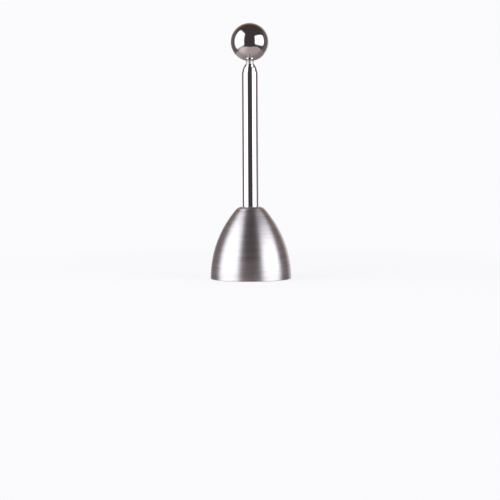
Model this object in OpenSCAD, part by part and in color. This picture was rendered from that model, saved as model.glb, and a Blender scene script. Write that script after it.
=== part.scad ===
// Kitchen topper with a spring-loaded striker.
//
// A brushed steel bell hangs on a slim polished tube. A ball on a rod is pulled up out of the
// tube's nose against a spring, and let go. The striker on the rod's lower end then hits the
// anvil plug on the bell's crown, and the bell's rim passes the blow on.
//
// Millimetres, +Z up. The origin lies on the axis, in the plane of the bell's rim, on which the
// topper stands. Every place is worked out by stacking the pieces up from the rim.

/* [Bell] */
// Outer diameter of the bell at its rim
rim_d = 40.7; // [32:0.1:50]
// Height of the bell, from the rim to the crown's flat
bell_h = 36.3; // [29:0.1:45]
// Wall of the bell
bell_wall = 1.0; // [0.8:0.05:1.4]
// Radius of the rounding between the bell's side and its crown
crown_round = 4.2; // [3:0.1:6]
// Width of the crown's flat that shows around the tube
crown_land = 0.2; // [0.1:0.05:1]
// Radius of the rounding on the rim's two edges
rim_round = 0.25; // [0.1:0.05:0.4]

/* [Handle tube] */
// Outer diameter of the tube
tube_d = 8.0; // [6.6:0.1:10]
// Wall of the tube
tube_wall = 0.6; // [0.4:0.05:0.8]
// Length of the tube, from the crown to where the nose starts
tube_l = 66.2; // [56:0.2:82]
// Radius of the bend from the tube's side into the nose's first cone
nose_round = 5.0; // [3:0.1:8]
// Slope of the nose's first cone from the upright
cone_angle = 15; // [10:1:20]
// Radius of the bend between the nose's two cones
tip_round = 1.5; // [1:0.1:3]
// Slope of the nose's second cone from the upright
tip_angle = 31; // [25:1:45]
// Share of the nose's narrowing that the first cone takes
cone_share = 0.41; // [0.3:0.01:0.6]
// Width of the flat lip around the nose's hole
nose_lip = 0.25; // [0.2:0.05:0.8]

/* [Rod and ball] */
// Diameter of the pull rod
rod_d = 3.8; // [3.1:0.1:4.6]
// Diameter of the ball
ball_d = 19.05; // [15:0.05:23]
// Length of bare rod between the nose and the ball
neck_l = 1.5; // [1:0.05:4]
// Nominal diameter of the rod's thread in the ball
rod_thread_d = 3.0; // [2.5:0.1:3]
// Depth of the ball's tapped hole
ball_hole_l = 9.0; // [6:0.5:12]

/* [Striker and spring] */
// Length of the striker
striker_l = 14.0; // [11:0.5:17]
// Depth of the rod's socket in the striker
socket_l = 9.0; // [6:0.5:10]
// Diameter of the pin through striker and rod
pin_d = 1.5; // [1.2:0.1:1.6]
// Height of the anvil plug
anvil_h = 9.0; // [8:0.5:12]
// Travel of the ball from rest to the end of its pull
pull_travel = 20.0; // [12:0.5:22]
// Diameter of the spring's wire
wire_d = 0.7; // [0.5:0.05:0.85]
// Gap between the turns at each end of the spring, where they close up
end_turn_gap = 0.45; // [0.42:0.01:0.6]
// Thickness of the two spring washers
spring_washer_t = 0.5; // [0.3:0.05:0.8]
// Length of the guide bush
bush_l = 5.4; // [4:0.2:9]

/* [Bell fixing] */
// Nominal diameter of the screw
screw_d = 4.0; // [3:0.5:4]
// Length of the screw under its head
screw_l = 8.0; // [7:0.5:9]
// Diameter of the screw's head
screw_head_d = 7.6; // [7:0.1:8]
// Height of the screw's domed head
screw_head_h = 2.2; // [1.8:0.1:2.4]
// Height of the straight skirt at the foot of the dome
screw_skirt_h = 0.2; // [0.1:0.05:0.4]
// Diameter of the flat on top of the dome
screw_flat_d = 3.4; // [3.2:0.1:4]
// Depth of the screw's hexagon socket
screw_socket_h = 1.3; // [1:0.1:1.4]
// Width across the flats of the screw's hexagon socket
screw_key = 2.5; // [2:0.5:2.5]
// Thickness of the flat washer
crown_washer_t = 0.5; // [0.4:0.05:0.8]
// Thickness of the split lock washer
lock_washer_t = 0.9; // [0.7:0.05:1]
// Width of the lock washer's split
lock_gap = 0.6; // [0.3:0.1:1]
// Slant of the split from the upright
lock_slant = 20; // [0:5:30]

/* [Fits] */
// Radial clearance of the rod in the guide bush
bush_clear = 0.05; // [0.02:0.01:0.1]
// Radial clearance of the rod in the nose's hole
nose_clear = 0.12; // [0.1:0.01:0.2]
// Radial clearance of the striker in the tube
striker_clear = 0.2; // [0.1:0.05:0.3]
// Radial clearance of the spring washers, on the rod and in the tube
washer_clear = 0.15; // [0.1:0.01:0.2]
// Radial clearance of a screw in a plain hole or a washer
screw_clear = 0.15; // [0.05:0.05:0.3]
// Gap between faces that slide past each other
face_gap = 0.02; // [0.01:0.01:0.05]

/* [Hidden] */
$fn = 96;

// Radii
rim_r = rim_d / 2;
tube_r = tube_d / 2;
bore_r = tube_r - tube_wall;
rod_r = rod_d / 2;
ball_r = ball_d / 2;
thread_r = rod_thread_d / 2;
nose_hole_r = rod_r + nose_clear;
lip_r = nose_hole_r + nose_lip;
striker_r = bore_r - striker_clear;
screw_r = screw_d / 2;
screw_hole_r = screw_r + screw_clear;
screw_head_r = screw_head_d / 2;

// Chamfers: one for turned steel parts and one for thin edges
chamfer = 0.3;
fine_chamfer = 0.1;

// How far a cut reaches past the face that it opens, and what a thread's hole has to spare
past = 1;
tip_gap = 1;

// Straight stretches that stand for each rounded part of a profile
side_steps = 28;
round_steps = 12;
edge_steps = 4;

// The nose, as heights above its start: cone_h where the tube's side and the first cone would meet
// without their bend, tip_h where the two cones would, and nose_h the lip.
nose_run = tube_r - lip_r;
cone_run = cone_share * nose_run;
cone_h = nose_round * tan(cone_angle / 2);
tip_h = cone_h + cone_run / tan(cone_angle);
nose_h = tip_h + (nose_run - cone_run) / tan(tip_angle);

// Heights on the axis, stacked up from the rim
crown_z = bell_h;
anvil_z = crown_z + anvil_h;
striker_top_z = anvil_z + striker_l;
spring_low_z = striker_top_z + spring_washer_t + face_gap;
nose_z = crown_z + tube_l;
bush_z = nose_z - bush_l;
spring_high_z = bush_z - spring_washer_t;
nose_top_z = nose_z + nose_h;
seat_drop = ball_r - sqrt(pow(ball_r, 2) - pow(rod_r, 2));
ball_seat_z = nose_top_z + neck_l + seat_drop;
ball_z = ball_seat_z - seat_drop + ball_r;
rod_low_z = striker_top_z - socket_l;
pin_z = striker_top_z - socket_l / 2;

// Centres of the nose's two bends. The outer and the inner profile share them. The second lies back
// along the first cone by the bend's reach, and square to the cone by its radius.
tip_reach = tip_round * tan((tip_angle - cone_angle) / 2);
nose_centre = [tube_r - nose_round, nose_z];
tip_centre = [tube_r - cone_run, nose_z + tip_h]
    - tip_reach * [-sin(cone_angle), cos(cone_angle)]
    - tip_round * [cos(cone_angle), sin(cone_angle)];
tip_in_round = tip_round - tube_wall;
tip_in_run = tip_centre[0] + tip_in_round * cos(tip_angle) - nose_hole_r;
tip_in_z = tip_centre[1] + tip_in_round * sin(tip_angle) + tip_in_run / tan(tip_angle);

// Inside the crown, counted down from it
crown_under_z = crown_z - bell_wall;
crown_washer_z = crown_under_z - crown_washer_t;
head_seat_z = crown_washer_z - lock_washer_t;

// The bell's side is one arc, upright where the rim's rounding ends, that runs into the crown's
// rounding. Its radius follows from the rim, the height and the rounding, because the two arcs
// touch at one point, side_angle round from the level.
round_x = tube_r + crown_land;
round_z = bell_h - crown_round;
side_run = rim_r - round_x;
side_rise = round_z - rim_round;
side_r = (pow(side_run, 2) + pow(side_rise, 2) - pow(crown_round, 2)) / (2 * (side_run - crown_round));
side_x = rim_r - side_r;
side_angle = atan2(side_rise, round_x - side_x);

// The spring's centre line: one closed-up turn at each end and evenly spaced turns between
spring_r = (rod_r + bore_r) / 2;
spring_l = spring_high_z - spring_low_z;
turns = floor((spring_l - pull_travel) / wire_d) - 1;
end_pitch = wire_d + end_turn_gap;
pitch = (spring_l - wire_d - 2 * end_pitch) / (turns - 2);
rings_per_turn = 12;
wire_sides = 6;

// Points on an arc. The last is left out, because the next stretch of a profile starts there.
function arc(centre, r, from, to, steps) = [
    for (i = [0 : steps - 1])
    let (a = from + (to - from) * i / steps)
    centre + r * [cos(a), sin(a)]
];

// The same arc with its last point, for a bend that a straight stretch follows
function bend(centre, r, from, to, steps) =
    concat(arc(centre, r, from, to, steps), [centre + r * [cos(to), sin(to)]]);

// A solid turned from a half profile of [radius, height] points
module turned(profile) {
    rotate_extrude() polygon(profile);
}

// A flat ring from height z upwards, with all four edges chamfered
module ring(r_in, r_out, z, t, edge) {
    turned([
        [r_in, z + edge], [r_in + edge, z], [r_out - edge, z], [r_out, z + edge],
        [r_out, z + t - edge], [r_out - edge, z + t], [r_in + edge, z + t], [r_in, z + t - edge]
    ]);
}

// One wall of even thickness, from the rim up to the crown and back down the inside
module bell_cup() {
    rim_in_x = rim_r - bell_wall + rim_round;
    rim_out_x = rim_r - rim_round;
    color([0.74, 0.73, 0.74]) turned(concat(
        arc([rim_out_x, rim_round], rim_round, -90, 0, edge_steps),
        arc([side_x, rim_round], side_r, 0, side_angle, side_steps),
        arc([round_x, round_z], crown_round, side_angle, 90, round_steps),
        [[round_x, crown_z], [screw_hole_r, crown_z], [screw_hole_r, crown_under_z]],
        arc([round_x, round_z], crown_round - bell_wall, 90, side_angle, round_steps),
        arc([side_x, rim_round], side_r - bell_wall, side_angle, 0, side_steps),
        arc([rim_in_x, rim_round], rim_round, 180, 270, edge_steps),
        [[rim_in_x, 0]]
    ));
}

// A plain tube whose upper end is swaged in, in two steps, to a nose of the same wall
module handle_tube() {
    color([0.82, 0.81, 0.82]) turned(concat(
        [[bore_r, crown_z], [tube_r - fine_chamfer, crown_z], [tube_r, crown_z + fine_chamfer]],
        bend(nose_centre, nose_round, 0, cone_angle, edge_steps),
        bend(tip_centre, tip_round, cone_angle, tip_angle, edge_steps),
        [[lip_r, nose_top_z], [nose_hole_r, nose_top_z], [nose_hole_r, tip_in_z]],
        bend(tip_centre, tip_in_round, tip_angle, cone_angle, edge_steps),
        bend(nose_centre, nose_round - tube_wall, cone_angle, 0, edge_steps)
    ));
}

// Pressed up the tube until it meets the nose. An oil groove runs round the middle of its bore.
module guide_bush() {
    bush_bore_r = rod_r + bush_clear;
    groove = chamfer;
    mid_z = bush_z + bush_l / 2;
    color([0.80, 0.63, 0.30]) turned([
        [bush_bore_r + fine_chamfer, bush_z], [bore_r - chamfer, bush_z], [bore_r, bush_z + chamfer],
        [bore_r, nose_z - chamfer], [bore_r - chamfer, nose_z], [bush_bore_r + fine_chamfer, nose_z],
        [bush_bore_r, nose_z - fine_chamfer], [bush_bore_r, mid_z + groove],
        [bush_bore_r + groove, mid_z], [bush_bore_r, mid_z - groove],
        [bush_bore_r, bush_z + fine_chamfer]
    ]);
}

module spring_washer(z) {
    ring(rod_r + washer_clear, bore_r - washer_clear, z, spring_washer_t, fine_chamfer);
}

module upper_spring_washer() {
    color([0.70, 0.70, 0.72]) spring_washer(spring_high_z);
}

module lower_spring_washer() {
    color([0.70, 0.70, 0.72]) spring_washer(striker_top_z);
}

// Height of the spring's centre line after s turns
function spring_rise(s) =
    s < 1 ? s * end_pitch :
    s < turns - 1 ? end_pitch + (s - 1) * pitch :
    2 * end_pitch + (turns - 2) * pitch - (turns - s) * end_pitch;

// A point on the wire: s turns along the spring, at an angle round the wire's own section
function wire_point(s, round) =
    let (r = spring_r + wire_d / 2 * cos(round))
    [
        r * cos(360 * s),
        r * sin(360 * s),
        spring_low_z + wire_d / 2 + spring_rise(s) + wire_d / 2 * sin(round)
    ];

// Least gap between neighbouring turns, measured between points on the centre line a turn apart
function turn_gap() =
    let (step = 1 / rings_per_turn)
    min([
        for (i = [0 : (turns - 1) * rings_per_turn])
        spring_rise(i * step + 1) - spring_rise(i * step)
    ]) - wire_d;

module pull_spring() {
    rings = turns * rings_per_turn;
    points = [
        for (i = [0 : rings], k = [0 : wire_sides - 1])
        wire_point(i / rings_per_turn, 90 + 360 * k / wire_sides)
    ];
    walls = [
        for (i = [0 : rings - 1], k = [0 : wire_sides - 1])
        let (a = i * wire_sides, b = a + wire_sides, n = (k + 1) % wire_sides)
        [a + k, b + k, b + n, a + n]
    ];
    low_end = [for (k = [0 : wire_sides - 1]) k];
    high_end = [for (k = [wire_sides - 1 : -1 : 0]) rings * wire_sides + k];
    color([0.58, 0.58, 0.60]) polyhedron(points, concat(walls, [low_end, high_end]));
    echo(str("spring: ", turns, " turns, least gap between them ", turn_gap(), " mm"));
}

// Pressed and brazed into the tube's lower end, flush with it, and tapped for the screw
module anvil_plug() {
    hole_top_z = head_seat_z + screw_l + tip_gap;
    color([0.66, 0.66, 0.68]) turned([
        [screw_r + chamfer, crown_z], [bore_r - chamfer, crown_z], [bore_r, crown_z + chamfer],
        [bore_r, anvil_z - chamfer], [bore_r - chamfer, anvil_z], [0, anvil_z],
        [0, hole_top_z + screw_r / 2], [screw_r, hole_top_z], [screw_r, crown_z + chamfer]
    ]);
}

// As wide as the tube above it, so that the two clamp the crown between them
module crown_washer() {
    color([0.74, 0.74, 0.75])
        ring(screw_hole_r, tube_r, crown_washer_z, crown_washer_t, fine_chamfer);
}

// Split at a slant, as a spring washer is
module lock_washer() {
    color([0.64, 0.64, 0.66]) difference() {
        ring(screw_hole_r, screw_head_r, head_seat_z, lock_washer_t, fine_chamfer);
        translate([0, -screw_head_r, head_seat_z + lock_washer_t / 2])
            rotate([0, lock_slant, 0])
            cube([lock_gap, screw_head_r, 3 * lock_washer_t], center = true);
    }
}

// Domed head with a hexagon socket, and a plain shank that stands for the thread
module cup_screw() {
    head_z = head_seat_z - screw_head_h;
    flat_r = screw_flat_d / 2;
    skirt_z = head_seat_z - screw_skirt_h;
    // the dome's arc is centred on the axis and runs from the flat's edge to the skirt
    dome_h = skirt_z - head_z;
    dome_z = skirt_z + (pow(screw_head_r, 2) - pow(flat_r, 2) - pow(dome_h, 2)) / (2 * dome_h);
    dome_r = sqrt(pow(screw_head_r, 2) + pow(dome_z - skirt_z, 2));
    flat_angle = atan2(head_z - dome_z, flat_r);
    skirt_angle = atan2(skirt_z - dome_z, screw_head_r);
    tip_z = head_seat_z + screw_l;
    color([0.78, 0.78, 0.79]) difference() {
        turned(concat(
            [[0, head_z]],
            arc([0, dome_z], dome_r, flat_angle, skirt_angle, round_steps),
            [
                [screw_head_r, skirt_z], [screw_head_r, head_seat_z], [screw_r, head_seat_z],
                [screw_r, tip_z - chamfer], [screw_r - chamfer, tip_z], [0, tip_z]
            ]
        ));
        translate([0, 0, head_z - past])
            cylinder(d = screw_key / cos(30), h = screw_socket_h + past, $fn = 6);
    }
}

// The pin's hole, straight through rod and striker
module pin_hole() {
    translate([0, 0, pin_z]) rotate([90, 0, 0]) cylinder(d = pin_d, h = tube_d, center = true);
}

// The rod, with a shoulder under the ball, a threaded end in it and a cross hole for the pin
module pull_rod() {
    thread_l = ball_hole_l - tip_gap;
    color([0.80, 0.79, 0.80]) difference() {
        turned([
            [0, rod_low_z], [rod_r - chamfer, rod_low_z], [rod_r, rod_low_z + chamfer],
            [rod_r, ball_seat_z], [thread_r, ball_seat_z], [thread_r, ball_seat_z + thread_l - chamfer],
            [thread_r - chamfer, ball_seat_z + thread_l], [0, ball_seat_z + thread_l]
        ]);
        pin_hole();
    }
}

// The ball, with a spot-faced seat for the rod's shoulder
module ball_knob() {
    color([0.80, 0.78, 0.77]) difference() {
        translate([0, 0, ball_z]) sphere(ball_r, $fn = 120);
        turned([
            [0, ball_seat_z - past], [rod_r, ball_seat_z - past], [rod_r, ball_seat_z],
            [thread_r, ball_seat_z], [thread_r, ball_seat_z + ball_hole_l],
            [0, ball_seat_z + ball_hole_l + thread_r / 2]
        ]);
    }
}

// Its lower face is relieved towards the edge, so that the blow falls near the axis
module striker() {
    relief = chamfer;
    color([0.68, 0.68, 0.70]) difference() {
        turned([
            [0, anvil_z], [striker_r / 2, anvil_z], [striker_r - chamfer, anvil_z + relief],
            [striker_r, anvil_z + relief + chamfer], [striker_r, striker_top_z - chamfer],
            [striker_r - chamfer, striker_top_z], [rod_r, striker_top_z], [rod_r, rod_low_z],
            [0, rod_low_z - rod_r / 2]
        ]);
        pin_hole();
    }
}

module striker_pin() {
    pin_l = 2 * striker_r - 2 * fine_chamfer;
    edge = 2 * fine_chamfer;
    color([0.60, 0.60, 0.62]) translate([0, 0, pin_z]) rotate([90, 0, 0])
        turned([
            [0, -pin_l / 2], [pin_d / 2 - edge, -pin_l / 2], [pin_d / 2, -pin_l / 2 + edge],
            [pin_d / 2, pin_l / 2 - edge], [pin_d / 2 - edge, pin_l / 2], [0, pin_l / 2]
        ]);
}

bell_cup();
handle_tube();
guide_bush();
upper_spring_washer();
pull_spring();
anvil_plug();
crown_washer();
lock_washer();
cup_screw();
lower_spring_washer();
pull_rod();
ball_knob();
striker();
striker_pin();
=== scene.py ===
"""Spring-loaded topper: the looks of its bell, its tube and ball, and the striker inside them.

Lengths are millimetres, and MM turns them into metres when a mesh is made. +Z runs up the axis from the
plane of the bell's rim, and -Y is the front. A section is a half outline of (radius, height) points. It is
walked counter-clockwise: up the outside, in over the top, down the inside and out along the foot. Its
outer side is then always on the right, and so are the normals of what it is turned into.
"""
from __future__ import annotations

import logging
import math
import sys
from dataclasses import dataclass
from enum import Enum
from typing import Any, Callable, Iterable, NamedTuple, Sequence

import bpy
import numpy as np
from mathutils import Matrix, Vector


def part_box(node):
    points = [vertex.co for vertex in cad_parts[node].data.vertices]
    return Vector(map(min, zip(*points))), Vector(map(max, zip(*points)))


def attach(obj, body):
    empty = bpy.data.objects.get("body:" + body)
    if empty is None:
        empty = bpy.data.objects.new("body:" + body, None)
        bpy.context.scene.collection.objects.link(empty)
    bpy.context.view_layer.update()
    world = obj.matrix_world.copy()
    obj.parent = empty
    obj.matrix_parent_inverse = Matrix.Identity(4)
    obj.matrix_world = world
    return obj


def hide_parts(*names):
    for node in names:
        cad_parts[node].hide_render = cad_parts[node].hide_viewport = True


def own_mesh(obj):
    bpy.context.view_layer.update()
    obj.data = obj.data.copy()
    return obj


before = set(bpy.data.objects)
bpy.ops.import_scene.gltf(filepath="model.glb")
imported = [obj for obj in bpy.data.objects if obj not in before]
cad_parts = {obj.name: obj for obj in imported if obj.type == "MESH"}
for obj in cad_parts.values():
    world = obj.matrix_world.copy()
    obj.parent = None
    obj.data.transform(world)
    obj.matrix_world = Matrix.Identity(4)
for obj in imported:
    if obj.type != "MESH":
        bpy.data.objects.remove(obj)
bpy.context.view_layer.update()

MM = 0.001
WELD = 1e-4  # corners nearer to each other than this are one
CELL_SHIFT = 0.37  # moves the cells in which corners are welded, so that no round size lies between two
CORNER_SHARE = 0.45  # the most of a side that the rounding at one of its ends takes up
ARC_STEP = 0.15  # length of a step along a corner's rounding
SHARP_ANGLE = 28.0  # degrees from which an edge of a drilled piece is crisp
DEPTH_SHARE = 0.5413  # depth of a metric thread, as a share of its pitch
HAIR = 1e-4  # the small step that slopes are taken over, as a share of a patch or of a turn
PICTURE = 500  # pixels on each side of the photograph's frame

Surface = Callable[[np.ndarray, np.ndarray], np.ndarray]
Outline = tuple[np.ndarray, np.ndarray]
Colour = tuple[float, float, float]
Settings = dict[str, Any]
Values = dict[Any, Any]

log = logging.getLogger("topper")


class Body(Enum):
    """The bodies that the pieces ride on."""

    HOUSING = "housing"
    FOLLOWER = "spring_follower"
    PLUNGER = "plunger"


# ---------------------------------------------------------------------------------------------- shapes


class Corner(NamedTuple):
    """A corner of a section, with the radius of its rounding."""

    radius: float
    height: float
    rounding: float = 0.03


class Stretch:
    """One smooth stretch of a section."""

    steps: int = 1

    def at(self, u: np.ndarray, v: np.ndarray) -> Outline:
        """Radius and height at the share u of the stretch, and at the share v of a turn round the axis.

        Args:
            u: Share of the stretch, from 0 to 1.
            v: Share of a turn, from 0 to 1.

        Returns:
            The radii and the heights, each in the shape of u and v together.
        """
        raise NotImplementedError


@dataclass(frozen=True)
class Line(Stretch):
    """A straight stretch. An end that is keyed runs round a hexagon, and its radius is half the flats."""

    start: tuple[float, float]
    end: tuple[float, float]
    steps: int = 1
    keyed: tuple[bool, bool] = (False, False)

    def at(self, u: np.ndarray, v: np.ndarray) -> Outline:
        """The start plus u times the way to the end, each end's radius over the cosine within a flat.

        Args:
            u: Share of the stretch, from 0 to 1.
            v: Share of a turn, from 0 to 1.

        Returns:
            The radii and the heights, each in the shape of u and v together.
        """
        within = (v * 360) % 60 - 30
        flat = 1 / np.cos(np.radians(within))
        near = self.start[0] * (flat if self.keyed[0] else 1)
        far = self.end[0] * (flat if self.keyed[1] else 1)
        return near + (far - near) * u, self.start[1] + (self.end[1] - self.start[1]) * u + 0 * v


@dataclass(frozen=True)
class Arc(Stretch):
    """A round stretch about a centre, from one angle to another in degrees."""

    centre: tuple[float, float]
    bend: float
    start: float
    end: float
    steps: int = 8

    def at(self, u: np.ndarray, v: np.ndarray) -> Outline:
        """The centre plus the bend's radius times the cosine and sine of the angle reached at u."""
        angle = np.radians(self.start + (self.end - self.start) * u)
        return self.centre[0] + self.bend * np.cos(angle) + 0 * v, self.centre[1] + self.bend * np.sin(angle)


class Metric(NamedTuple):
    """The size of a metric thread."""

    radius: float
    pitch: float
    slack: float = 0.03

    @property
    def depth(self) -> float:
        """How deep the groove is cut."""
        return DEPTH_SHARE * self.pitch

    @property
    def drill(self) -> float:
        """Radius of the hole that is drilled for the tap."""
        return self.radius + self.slack - self.depth


@dataclass(frozen=True)
class Thread(Stretch):
    """A metric thread, on a shank or in a hole, which fades out over one pitch at its end or its start."""

    start: float
    end: float
    size: Metric
    inner: bool = False
    fades_at: float = 0.0
    tip_radius: float = 0.0
    rows_per_pitch: int = 9
    crest_share: float = 0.125
    root_share: float = 0.25

    @property
    def steps(self) -> int:
        """Rows of the grid, a fixed number for each pitch."""
        return max(2, round(abs(self.end - self.start) / self.size.pitch * self.rows_per_pitch))

    def at(self, u: np.ndarray, v: np.ndarray) -> Outline:
        """The groove follows a triangle wave of height over pitch less the turn, cut to flats.

        A wave of 0 to 1 is clipped so that the crest keeps an eighth of the pitch and the root a quarter.
        The radius falls by the depth times that. Near the faded end the groove closes up, and near the
        other end a cone of 45 degrees limits the radius.

        Args:
            u: Share of the stretch, from 0 to 1.
            v: Share of a turn, from 0 to 1.

        Returns:
            The radii and the heights, each in the shape of u and v together.
        """
        height = self.start + (self.end - self.start) * u + 0 * v
        wave = np.abs(2 * ((height / self.size.pitch - v) % 1) - 1)
        groove = np.clip((wave - self.crest_share) / (1 - self.crest_share - self.root_share), 0, 1)
        open_end = self.start if self.fades_at == self.end else self.end
        fade = np.clip(np.abs(height - self.fades_at) / self.size.pitch, 0, 1)
        if self.inner:
            radius = self.size.drill + self.size.depth * (1 - groove) * fade
            return np.maximum(radius, self.tip_radius - np.abs(height - open_end)), height
        radius = self.size.radius - self.size.depth * groove * fade
        return np.minimum(radius, self.tip_radius + np.abs(height - open_end)), height


def softened(corners: Sequence[Corner], closed: bool = True) -> list[Stretch]:
    """Straight stretches through corners, each corner rounded by an arc that touches both of its sides.

    An arc of radius b in a corner that turns by t starts b tan(t/2) before it. Where a side is too short
    for that, b is cut down.

    Args:
        corners: The corners in walking order.
        closed: Whether the last corner joins the first. An open row's two ends stay sharp.

    Returns:
        The lines and arcs in order.
    """
    count = len(corners)
    places = np.array([corner[:2] for corner in corners], float)
    entries, exits, arcs = list(places), list(places), [None] * count
    for i in range(count) if closed else range(1, count - 1):
        before, after = places[i] - places[i - 1], places[(i + 1) % count] - places[i]
        lengths = np.hypot(*before), np.hypot(*after)
        before, after = before / lengths[0], after / lengths[1]
        turn = math.atan2(before[0] * after[1] - before[1] * after[0], float(before @ after))
        if abs(turn) < 1e-6:
            continue
        reach = min(corners[i].rounding * math.tan(abs(turn) / 2), CORNER_SHARE * min(lengths))
        bend, side = reach / math.tan(abs(turn) / 2), math.copysign(1, turn)
        entries[i], exits[i] = places[i] - reach * before, places[i] + reach * after
        centre = entries[i] + bend * side * np.array([-before[1], before[0]])
        first = math.degrees(math.atan2(*(entries[i] - centre)[::-1]))
        steps = max(4, round(bend * abs(turn) / ARC_STEP))
        arcs[i] = Arc(tuple(centre), bend, first, first + math.degrees(turn), steps)
    out: list[Stretch] = []
    for i in range(count if closed else count - 1):
        following = (i + 1) % count
        if arcs[i]:
            out.append(arcs[i])
        out.append(Line(tuple(exits[i]), tuple(entries[following])))
    return out


class Skin:
    """A closed surface, joined from patches that are each a grid over two parameters."""

    def __init__(self) -> None:
        """Starts with no patches."""
        self.points: list[np.ndarray] = []
        self.normals: list[np.ndarray] = []
        self.quads: list[np.ndarray] = []
        self.count = 0

    def patch(self, surface: Surface, rows: int, columns: int) -> None:
        """Adds a patch, the surface P(u, v) for u and v from 0 to 1.

        A corner's normal is the cross product of P's slopes along v and along u. Both are taken a hair
        inside the patch, so that a pole has a normal and an edge between two patches stays crisp.

        Args:
            surface: The function that gives the points.
            rows: Steps of u.
            columns: Steps of v.
        """
        u, v = np.meshgrid(np.linspace(0, 1, rows + 1), np.linspace(0, 1, columns + 1), indexing="ij")
        points = surface(u, v)
        a, b = np.clip(u, 2 * HAIR, 1 - 2 * HAIR), np.clip(v, 2 * HAIR, 1 - 2 * HAIR)
        along_v = surface(a, b + HAIR) - surface(a, b - HAIR)
        along_u = surface(a + HAIR, b) - surface(a - HAIR, b)
        normals = np.cross(along_v, along_u)
        normals /= np.maximum(np.linalg.norm(normals, axis=-1, keepdims=True), 1e-30)
        ids = self.count + np.arange(u.size).reshape(u.shape)
        quads = np.stack([ids[:-1, :-1], ids[:-1, 1:], ids[1:, 1:], ids[1:, :-1]], axis=-1)
        self.points.append(points.reshape(-1, 3))
        self.normals.append(normals.reshape(-1, 3))
        self.quads.append(quads.reshape(-1, 4))
        self.count += u.size

    def build(self, name: str) -> bpy.types.Object:
        """Welds the patches at shared corners and makes the object. A quad at a pole becomes a triangle.

        Args:
            name: The object's name.

        Returns:
            The new object, at the origin, with its place in its mesh.
        """
        points, normals, quads = (np.concatenate(part) for part in (self.points, self.normals, self.quads))
        cells = np.floor(points / WELD + CELL_SHIFT).astype(np.int64)
        _, first, which = np.unique(cells, axis=0, return_index=True, return_inverse=True)
        corners = which.reshape(-1)[quads]
        kept = corners != np.roll(corners, 1, axis=1)
        sound = kept.sum(axis=1) >= 3
        kept &= sound[:, None]
        loops, sizes = corners[kept], kept.sum(axis=1)[sound]
        used, loops = np.unique(loops, return_inverse=True)
        mesh = bpy.data.meshes.new(name)
        mesh.vertices.add(len(used))
        mesh.vertices.foreach_set("co", (points[first][used] * MM).ravel())
        mesh.loops.add(len(loops))
        mesh.loops.foreach_set("vertex_index", loops.ravel())
        mesh.polygons.add(len(sizes))
        mesh.polygons.foreach_set("loop_start", np.cumsum(sizes) - sizes)
        mesh.update(calc_edges=True)
        mesh.shade_smooth()
        mesh.normals_split_custom_set(normals[quads[kept]])
        piece = bpy.data.objects.new(name, mesh)
        bpy.context.scene.collection.objects.link(piece)
        return piece


def around(radius: np.ndarray, height: np.ndarray, angle: np.ndarray) -> np.ndarray:
    """Points at a radius and a height, turned by an angle in radians from +X towards +Y."""
    radius, height, angle = np.broadcast_arrays(radius, height, angle)
    return np.stack([radius * np.cos(angle), radius * np.sin(angle), height], axis=-1)


def turned(name: str, section: Iterable[Stretch], sides: int = 96) -> bpy.types.Object:
    """Turns a section about the axis: at (u, v) the point is the stretch's u, turned by v of 360 degrees.

    Args:
        name: The object's name.
        section: The stretches, which close on themselves or end on the axis.
        sides: Steps round the axis.

    Returns:
        The new object.
    """
    skin = Skin()
    for stretch in section:
        skin.patch(lambda u, v, s=stretch: around(*s.at(u, v), math.tau * v), stretch.steps, sides)
    return skin.build(name)


def ring(inner: float, outer: float, low: float, high: float, edges: Sequence[float]) -> list[Stretch]:
    """A flat ring's section.

    Args:
        inner: Radius of its hole.
        outer: Its outer radius.
        low: Height of its lower face.
        high: Height of its upper face.
        edges: Roundings of its low outer, high outer, high inner and low inner edge.

    Returns:
        The section's stretches.
    """
    return softened([
        Corner(outer, low, edges[0]),
        Corner(outer, high, edges[1]),
        Corner(inner, high, edges[2]),
        Corner(inner, low, edges[3]),
    ])


def drilled(piece: bpy.types.Object, cutter: bpy.types.Object) -> bpy.types.Object:
    """Cuts a hole through a piece in the shape of the cutter, and removes the cutter.

    Args:
        piece: What the hole goes through.
        cutter: A closed object in the hole's shape.

    Returns:
        The same piece, with faces smooth up to its edges.
    """
    cut = piece.modifiers.new("cross_hole", "BOOLEAN")
    cut.operation = "DIFFERENCE"
    cut.object = cutter
    mesh = bpy.data.meshes.new_from_object(piece.evaluated_get(bpy.context.evaluated_depsgraph_get()))
    piece.modifiers.clear()
    piece.data = mesh
    if "custom_normal" in mesh.attributes:
        mesh.attributes.remove(mesh.attributes["custom_normal"])
    mesh.shade_smooth()
    mesh.set_sharp_from_angle(angle=math.radians(SHARP_ANGLE))
    bpy.data.objects.remove(cutter)
    return piece


@dataclass(frozen=True)
class Extent:
    """How far a node reaches: its largest radius, and its lowest and highest points."""

    radius: float
    low: float
    high: float

    @classmethod
    def of(cls, node: str) -> Extent:
        """Reads the node's box from the frame, to a ten-thousandth of a millimetre."""
        low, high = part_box(node)
        return cls(*(round(value / MM, 4) for value in (high.x, low.z, high.z)))


def washer(name: str, node: str, hole: float, edges: Sequence[float]) -> bpy.types.Object:
    """A stamped washer in a node's box, with edges rolled where the die entered and sharp ones opposite.

    Args:
        name: The object's name.
        node: The node whose box it fills.
        hole: Radius of its hole.
        edges: Roundings of its low outer, high outer, high inner and low inner edge.

    Returns:
        The new object.
    """
    size = Extent.of(node)
    return turned(name, ring(hole, size.radius, size.low, size.high, edges))


# ----------------------------------------------------------------------------------------------- shaders


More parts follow.
